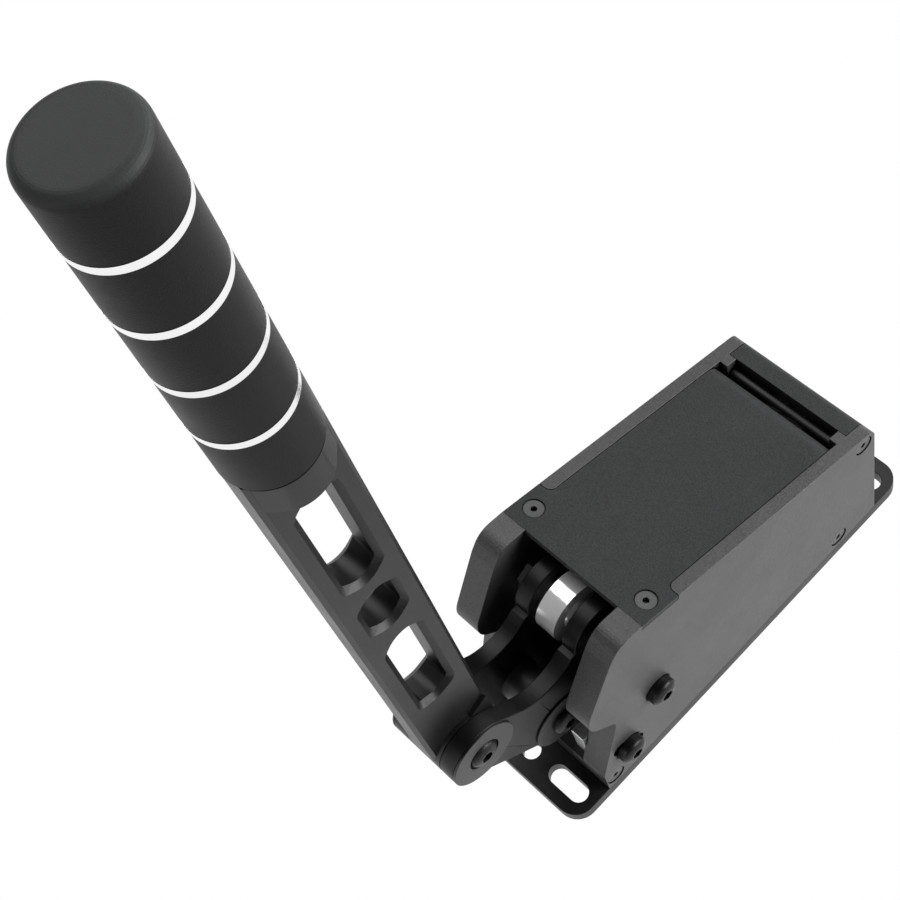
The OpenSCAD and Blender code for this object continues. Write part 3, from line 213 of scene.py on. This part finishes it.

# Bright metals
# Only partly metallic: its diffuse white stands in as painted reflection of the bright surroundings
CHROME_WITH_PAINTED_REFLECTION = material("chrome", (0.94, 0.94, 0.95), 0.18, metallic=0.45,
                  grain=0.10, grain_size=0.002, vary=0.03, rough_vary=0.03)
BRIGHT = material("polished_aluminium", (0.88, 0.88, 0.89), 0.07, metallic=1.0,
                  grain=0.10, grain_size=0.0005, vary=0.05, brush=(30, 30, 1))
SILVER = material("milled_aluminium", (0.72, 0.73, 0.74), 0.34, metallic=1.0,
                  grain=0.3, grain_size=0.0008, vary=0.05, brush=(1, 22, 22))
STEEL = material("ground_steel", (0.50, 0.51, 0.52), 0.24, metallic=1.0,
                 grain=0.2, grain_size=0.0008, vary=0.08, brush=(1, 26, 26))
BRONZE = material("sintered_bronze", (0.42, 0.27, 0.12), 0.42, metallic=1.0,
                  grain=0.5, grain_size=0.0007, vary=0.2)
SPRING = material("spring_wire", (0.20, 0.20, 0.21), 0.30, metallic=1.0, grain=0.2, vary=0.15)
BRASS = material("turned_brass", (0.62, 0.45, 0.18), 0.28, metallic=1.0,
                 grain=0.25, vary=0.08, brush=(26, 26, 1))

# Plastics, the grip washer's painted shadow black, and the circuit board
ACETAL = material("acetal", (0.72, 0.71, 0.66), 0.40, grain=0.1, vary=0.04)
PLASTIC = material("black_plastic", (0.018, 0.018, 0.018), 0.50,
                   grain=0.5, grain_size=0.0009, vary=0.1)
# The grip washer is near black and barely glossy: painted shadow for the dark line under the grip
GRIP_WASHER_PAINTED_SHADOW = material("grip_washer_painted_shadow", (0.002, 0.002, 0.002), 0.8, ior=1.1, grain=0.3, vary=0.2)
BOARD = material("solder_mask", (0.010, 0.085, 0.035), 0.28, coat=0.3,
                 grain=0.2, grain_size=0.0011, vary=0.3)

# What each piece is made of
LOOK = {
    # Housing
    "base_plate": BASE, "left_side_plate": SIDE, "right_side_plate": SIDE,
    # The cover rail takes the darker base copy as painted shade behind the cover
    "top_cover": COVER, "cover_rail": BASE, "rear_crossbar": COVER, "rear_panel": PLASTIC,
    "front_cross_block": BLOCK, "rear_cross_block": BLOCK,
    "cover_screws": SCREW, "side_screws": SCREW, "base_screws": SCREW,
    "pivot_shaft": STEEL, "pivot_sleeves": STEEL, "thrust_washers": ACETAL, "pivot_bolts": OXIDE,
    "stop_shaft": STEEL, "stop_blocks": SILVER, "stop_bolts": OXIDE, "head_washers": OXIDE,
    "load_cell": SILVER, "cell_screws": SCREW, "anchor_clevis": BLOCK, "anchor_pin": STEEL,
    "circuit_board": BOARD, "board_standoffs": BRASS, "board_screws": SCREW, "data_socket": PLASTIC,
    # Lever
    "lever_arm": ARM, "left_crank_plate": CRANK, "right_crank_plate": CRANK,
    "hub_discs": DISC, "hub_bolts": OXIDE,
    "tie_spacer": BLOCK, "tie_discs": DISC, "tie_bolts": OXIDE,
    "pivot_bushes": BRONZE, "pivot_tube": STEEL,
    "crank_pin": OXIDE, "crank_pin_nut": SCREW, "pin_spacers": STEEL, "rod_end_ball": CHROME_WITH_PAINTED_REFLECTION,
    "grip_core": STEEL, "grip_washer": GRIP_WASHER_PAINTED_SHADOW, "grip_lower_segment": GRIP, "grip_segments": GRIP,
    "grip_rings": BRIGHT, "grip_cap": GRIP_CAP_PAINTED_TOP,
    # Pull rod
    "rod_end_housing": CHROME_WITH_PAINTED_REFLECTION, "jam_nut": SCREW, "pull_rod": STEEL, "spring_piston": BLOCK,
    "rod_nut": SCREW,
    # Spring barrel
    "spring": SPRING, "barrel": BASE, "barrel_front_cap": BLOCK, "barrel_rear_eye": BLOCK,
}
for name, piece in nodes.items():
    if not piece.material_slots:
        piece.data.materials.append(None)
    for slot in piece.material_slots:
        slot.material = LOOK[name]

# Fine edge rounds on the machined pieces, by their width
EDGES = {
    "base_plate": 0.0005, "rear_crossbar": 0.0004, "lever_arm": 0.0003,
    "left_crank_plate": 0.0005, "right_crank_plate": 0.0005,
    "hub_discs": 0.00025, "tie_discs": 0.0003, "stop_blocks": 0.0004,
    "front_cross_block": 0.0004, "rear_cross_block": 0.0004, "rod_end_housing": 0.0014,
}
EDGE_STEPS = 2
# Least angle between two faces that counts as an edge
EDGE_ANGLE = 32
# Distance within which points are joined first
JOIN_WITHIN = 0.00002
# How much more the large faces count in the shading
FACE_WEIGHT = 60


def soften(piece, width):
    join = piece.modifiers.new("join", "WELD")
    join.merge_threshold = JOIN_WITHIN
    edge = piece.modifiers.new("edge", "BEVEL")
    edge.width = width
    edge.segments = EDGE_STEPS
    edge.limit_method = "ANGLE"
    edge.angle_limit = math.radians(EDGE_ANGLE)
    shade = piece.modifiers.new("shade", "WEIGHTED_NORMAL")
    shade.weight = FACE_WEIGHT


for name, width in EDGES.items():
    soften(nodes[name], width)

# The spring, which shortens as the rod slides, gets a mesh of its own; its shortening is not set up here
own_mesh(nodes["spring"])

# Camera, where the photograph was taken from
CAMERA_AT = (0.237953, -0.169396, 0.682698)
CAMERA_TURN = (27.98126, 12.03359, 45.50151)
CAMERA_CLIP = (0.01, 20)
LENS_MM = 69.7434
SENSOR_MM = 36

camera = bpy.data.objects.new("camera", bpy.data.cameras.new("camera"))
scene.collection.objects.link(camera)
turn = Euler([math.radians(angle) for angle in CAMERA_TURN])
camera.matrix_world = Matrix.Translation(CAMERA_AT) @ turn.to_matrix().to_4x4()
camera.data.lens = LENS_MM
camera.data.sensor_width = SENSOR_MM
camera.data.sensor_fit = "HORIZONTAL"
camera.data.clip_start, camera.data.clip_end = CAMERA_CLIP
scene.camera = camera

# Floor: pale under the lamps, and white to the eye and in reflections
FLOOR_HALF = 6
FLOOR_DROP = 0.0005
FLOOR_COLOUR = (0.8, 0.8, 0.8, 1)

floor_mesh = bpy.data.meshes.new("floor")
corners = [(x * FLOOR_HALF, y * FLOOR_HALF, -FLOOR_DROP) for x, y in ((-1, -1), (1, -1), (1, 1), (-1, 1))]
floor_mesh.from_pydata(corners, [], [(0, 1, 2, 3)])
floor = bpy.data.objects.new("floor", floor_mesh)
scene.collection.objects.link(floor)

pale = bpy.data.materials.new("floor")
tree = fresh_tree(pale)
diffuse = node(tree, "ShaderNodeBsdfDiffuse")
diffuse.inputs["Color"].default_value = FLOOR_COLOUR
glow = node(tree, "ShaderNodeEmission", Strength=1.0)
both = node(tree, "ShaderNodeMixShader")
link(tree, seen_by(tree, "Camera", "Glossy", "Transmission"), both.inputs["Fac"])
link(tree, diffuse.outputs[0], both.inputs[1])
link(tree, glow.outputs[0], both.inputs[2])
link(tree, both.outputs[0], node(tree, "ShaderNodeOutputMaterial").inputs["Surface"])
floor_mesh.materials.append(pale)

# World: dim as a light, and white to the eye
WORLD_LIGHT = 0.10
WORLD_SEEN = 1.0

scene.world = bpy.data.worlds.new("studio")
tree = fresh_tree(scene.world)
backdrop = node(tree, "ShaderNodeBackground")
backdrop.inputs["Color"].default_value = (1, 1, 1, 1)
strength = ramp(tree, seen_by(tree, "Camera"), 0.0, 1.0, WORLD_LIGHT, WORLD_SEEN)
link(tree, strength, backdrop.inputs["Strength"])
link(tree, backdrop.outputs[0], node(tree, "ShaderNodeOutputWorld").inputs["Surface"])

# Lamps: soft square lights round the object, each by its bearing from +X, its height angle,
# its side and its power
LAMPS = {
    "key": (168, 56, 1.6, 24),
    "overhead": (125, 45, 1.2, 4),
    "rear": (90, 15, 0.9, 12),
    "right": (42, 16, 1.3, 62),
    "front": (270, 15, 0.9, 9),
}
LAMP_AIM = Vector((0, 0, 0.15))
LAMP_REACH = 1.9

for name, (bearing, height, side, power) in LAMPS.items():
    turned, raised = math.radians(bearing), math.radians(height)
    level = LAMP_REACH * math.cos(raised)
    offset = Vector((level * math.cos(turned), level * math.sin(turned), LAMP_REACH * math.sin(raised)))
    data = bpy.data.lights.new(name, "AREA")
    data.size = side
    data.energy = power
    lamp = bpy.data.objects.new(name, data)
    lamp.location = LAMP_AIM + offset
    lamp.rotation_mode = "QUATERNION"
    lamp.rotation_quaternion = (-offset).to_track_quat("-Z", "Y")
    scene.collection.objects.link(lamp)

scene.view_settings.view_transform = "Standard"
